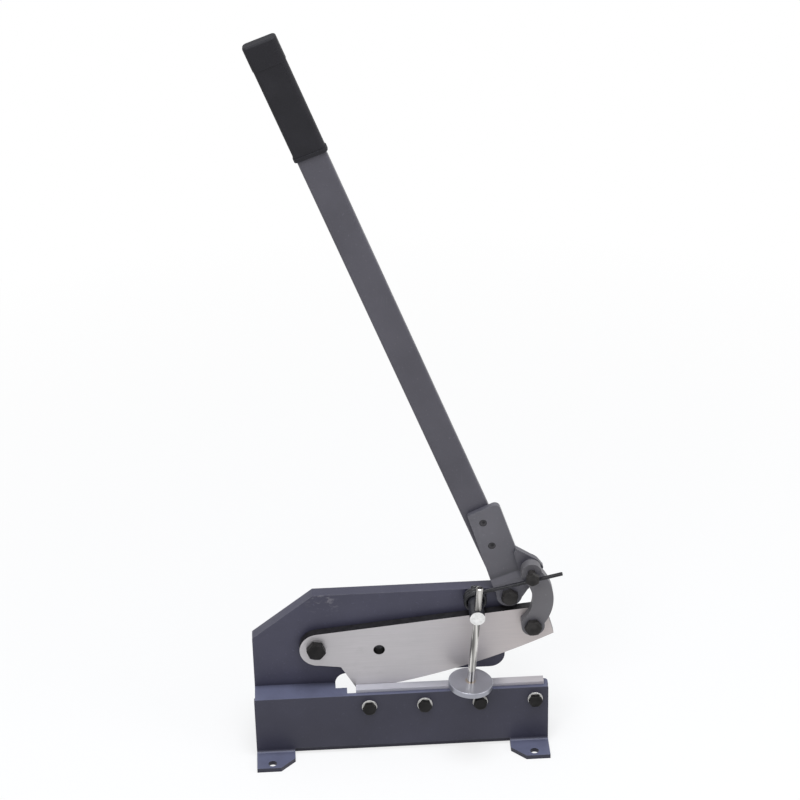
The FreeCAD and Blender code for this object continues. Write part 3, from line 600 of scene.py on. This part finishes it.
def hex_bolt(node, body, size, turn):
    """Stands for a CAD bolt: hex head with a turned crown, shank, and thread at its end."""
    flats, head, dia = size
    x, z = middle_of(node)
    low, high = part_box(node)
    face = low.y / MM
    end = high.y / MM
    half = flats / 2
    crown = CROWN_SHARE * half
    angles = [360 * i / BOLT_SIDES for i in range(BOLT_SIDES)]

    def ring(radius_at, y_at):
        places = []
        for degrees in angles:
            around = math.radians(degrees + turn)
            radius = radius_at(degrees) * MM
            across = x + radius * math.cos(around)
            up = z + radius * math.sin(around)
            places.append((across, y_at(degrees) * MM, up))
        return places

    def circle(radius, y):
        return ring(lambda degrees: radius, lambda degrees: y)

    def hexagon(inset, y):
        return ring(lambda degrees: hex_radius(degrees, half) - inset, lambda degrees: y)

    def crown_drop(degrees):
        run = hex_radius(degrees, half) - crown
        return face + CROWN_ROUND_BACK + run * math.tan(CROWN_SLOPE)

    rings = [
        circle(CROWN_MIDDLE * crown, face),
        circle(crown - CROWN_ROUND_IN, face),
        circle(crown, face + CROWN_ROUND_BACK),
        ring(lambda degrees: hex_radius(degrees, half), crown_drop),
        hexagon(0.0, face + head - UNDER_CHAMFER),
        hexagon(UNDER_CHAMFER, face + head),
        circle(dia / 2, face + head),
        circle(dia / 2, end - THREAD_LENGTH - THREAD_PITCH),
    ]
    for row in range(THREAD_ROWS + 1):
        y = end - THREAD_LENGTH - THREAD_STOPS_SHORT + THREAD_LENGTH * row / THREAD_ROWS

        def groove(degrees, y=y):
            phase = 2 * math.pi * (y / THREAD_PITCH) - math.radians(degrees)
            return dia / 2 - THREAD_HALF_DEPTH * (1 - math.cos(phase))

        rings.append(ring(groove, lambda degrees, y=y: y))
    for inset, back in POINT_STEPS:
        rings.append(circle(dia / 2 - inset, end - back))
    piece = skinned(node + "_threaded", rings, DRESS[node][0])
    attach(piece, body)
    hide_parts(node)


def spring_path():
    """Places along the wire in mm: closed coil from the frame outwards, then the straight leg."""
    post_x, post_z = [place / MM for place in middle_of("hold_down_post")]
    bolt_x, bolt_z = [place / MM for place in middle_of("upper_link_bolt")]
    start = FRAME_FACE / MM - COIL_GAP - WIRE_RADIUS
    end = start - COIL_TURNS * COIL_PITCH
    reach = math.hypot(bolt_x - post_x, bolt_z - post_z)
    under = COIL_RADIUS + LINK_BOLT_RADIUS + WIRE_RADIUS + LEG_REST_GAP
    turn = math.atan2(bolt_z - post_z, bolt_x - post_x) - math.asin(under / reach)
    run = math.sqrt(reach * reach - under * under)
    leg_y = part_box("front_link")[0].y / MM - LEG_STAND_OFF
    splay = math.atan2(end - leg_y, run)
    length = run / math.cos(splay) + LEG_OVERHANG
    places = []
    for i in range(COIL_TURNS * COIL_STEPS + 1):
        share = i / (COIL_TURNS * COIL_STEPS)
        around = turn + math.pi / 2 + 2 * math.pi * COIL_TURNS * (1 - share)
        places.append(Vector((post_x + COIL_RADIUS * math.cos(around),
                              start + (end - start) * share,
                              post_z + COIL_RADIUS * math.sin(around))))
    along = Vector((math.cos(turn) * math.cos(splay), -math.sin(splay),
                    math.sin(turn) * math.cos(splay)))
    corner = places[-1]
    for distance in (*LEG_STOPS, length - WIRE_END_ROUND, length):
        places.append(corner + along * distance)
    return places


def return_spring():
    """Round wire in place of the CAD spring's many-sided wire, its ends slightly rounded."""
    places = spring_path()
    last = len(places) - 1
    rings = []
    for i, place in enumerate(places):
        ahead = (places[min(i + 1, last)] - places[max(i - 1, 0)]).normalized()
        side = ahead.cross(Vector((0, 1, 0))).normalized()
        up = side.cross(ahead)
        radius = WIRE_RADIUS - (WIRE_END_ROUND if i in (0, last) else 0.0)
        ring = []
        for k in range(WIRE_SIDES):
            around = 2 * math.pi * k / WIRE_SIDES
            outwards = side * math.cos(around) + up * math.sin(around)
            ring.append((place + outwards * radius) * MM)
        rings.append(ring)
    piece = skinned("return_spring_wire", rings, "spring")
    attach(piece, "spring")
    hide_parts("return_spring")


def soften(piece, width):
    """Rounds a CAD node's edges with modifiers, its own mesh unchanged."""
    if width > 0:
        flat = piece.modifiers.new("flat_faces", "DECIMATE")
        flat.decimate_type = "DISSOLVE"
        flat.angle_limit = FLAT_WITHIN
        round_edges = piece.modifiers.new("round_edges", "BEVEL")
        round_edges.width = width * MM
        round_edges.segments = SOFT_SEGMENTS
        round_edges.limit_method = "ANGLE"
        round_edges.angle_limit = SOFTENED_FROM
        round_edges.harden_normals = True
    for polygon in piece.data.polygons:
        polygon.use_smooth = True


def dress_nodes():
    for name, (finish, width) in DRESS.items():
        piece = NODES[name]
        piece.data.materials.clear()
        piece.data.materials.append(FINISHES[finish])
        soften(piece, width)


def make_camera():
    yaw, pitch, roll = CAMERA_YAW, CAMERA_PITCH, CAMERA_ROLL
    forward = Vector((math.sin(yaw) * math.cos(pitch), math.cos(yaw) * math.cos(pitch),
                      -math.sin(pitch)))
    level = Vector((math.cos(yaw), -math.sin(yaw), 0))
    above = level.cross(forward)
    right = level * math.cos(roll) + above * math.sin(roll)
    up = above * math.cos(roll) - level * math.sin(roll)
    data = bpy.data.cameras.new("photo_camera")
    data.sensor_width = SENSOR_WIDTH
    data.lens = FOCAL_PIXELS / IMAGE_PIXELS * SENSOR_WIDTH
    data.shift_x = -CENTRE_PIXELS / IMAGE_PIXELS
    data.clip_start = NEAREST_SEEN
    data.clip_end = FARTHEST_SEEN
    camera = bpy.data.objects.new("photo_camera", data)
    bpy.context.scene.collection.objects.link(camera)
    turn = Matrix((right, up, -forward)).transposed()
    camera.matrix_world = Matrix.Translation(CAMERA_PLACE) @ turn.to_4x4()
    bpy.context.scene.camera = camera


def see_as_background(tree):
    """1 for rays from the camera, mirrors and glass, 0 for rays that carry light."""
    path = tree.nodes.new("ShaderNodeLightPath")
    total = path.outputs["Is Camera Ray"]
    for name in ("Is Glossy Ray", "Is Transmission Ray"):
        larger = tree.nodes.new("ShaderNodeMath")
        larger.operation = "MAXIMUM"
        tree.links.new(total, larger.inputs[0])
        tree.links.new(path.outputs[name], larger.inputs[1])
        total = larger.outputs["Value"]
    return total


def make_world():
    """Soft light from all round, behind a white backdrop that lights nothing."""
    world = bpy.data.worlds.new("studio")
    world.use_nodes = True
    tree = world.node_tree
    light = tree.nodes["Background"]
    light.inputs["Color"].default_value = (*WORLD_COLOUR, 1)
    light.inputs["Strength"].default_value = WORLD_STRENGTH
    seen = tree.nodes.new("ShaderNodeBackground")
    seen.inputs["Color"].default_value = (*BACKDROP_COLOUR, 1)
    mixed = tree.nodes.new("ShaderNodeMixShader")
    tree.links.new(see_as_background(tree), mixed.inputs["Fac"])
    tree.links.new(light.outputs["Background"], mixed.inputs[1])
    tree.links.new(seen.outputs["Background"], mixed.inputs[2])
    tree.links.new(mixed.outputs["Shader"], tree.nodes["World Output"].inputs["Surface"])
    bpy.context.scene.world = world


def make_floor():
    """Pale floor that keeps the machine's shadow and is seen as white farther out."""
    half = FLOOR_HALF
    corners = [(-half, -half, 0), (half, -half, 0), (half, half, 0), (-half, half, 0)]
    mesh = bpy.data.meshes.new("floor")
    mesh.from_pydata(corners, [], [(0, 1, 2, 3)])
    floor = bpy.data.objects.new("floor", mesh)
    bpy.context.scene.collection.objects.link(floor)
    s = Shader("pale_floor")
    mottle = s.patches(scale=3, detail=3, low=0.3, high=0.7)
    s.finish(s.mix(mottle, tinted(FLOOR_COLOUR, 0.985), FLOOR_COLOUR), 0.9, specular=0.1)
    white = s.node("ShaderNodeEmission")
    white.inputs["Color"].default_value = (*BACKDROP_COLOUR, 1)
    distance = s.node("ShaderNodeVectorMath", operation="LENGTH")
    s.link(s.place, distance.inputs[0])
    whiteness = s.span(distance.outputs["Value"], WHITENS_FROM, WHITE_FROM,
                       to_low=FLOOR_WHITE_NEAR, to_high=1.0)
    mixed = s.node("ShaderNodeMixShader")
    s.link(s.times(see_as_background(s.tree), whiteness), mixed.inputs["Fac"])
    s.link(s.surface.outputs["BSDF"], mixed.inputs[1])
    s.link(white.outputs["Emission"], mixed.inputs[2])
    s.link(mixed.outputs["Shader"], s.tree.nodes["Material Output"].inputs["Surface"])
    mesh.materials.append(s.material)


def area_light(name, place, size, power, colour):
    data = bpy.data.lights.new(name, "AREA")
    data.shape = "DISK"
    data.size = size
    data.energy = power
    data.color = colour
    lamp = bpy.data.objects.new(name, data)
    lamp.location = place
    lamp.rotation_mode = "QUATERNION"
    lamp.rotation_quaternion = (Vector(LIGHT_AIM) - Vector(place)).to_track_quat("-Z", "Y")
    bpy.context.scene.collection.objects.link(lamp)


bpy.context.scene.view_settings.view_transform = "Standard"
make_camera()
make_world()
make_floor()
for name, settings in LIGHTS.items():
    area_light(name, *settings)
dress_nodes()
for bolt, settings in HEX_BOLTS.items():
    hex_bolt(bolt, *settings)
return_spring()
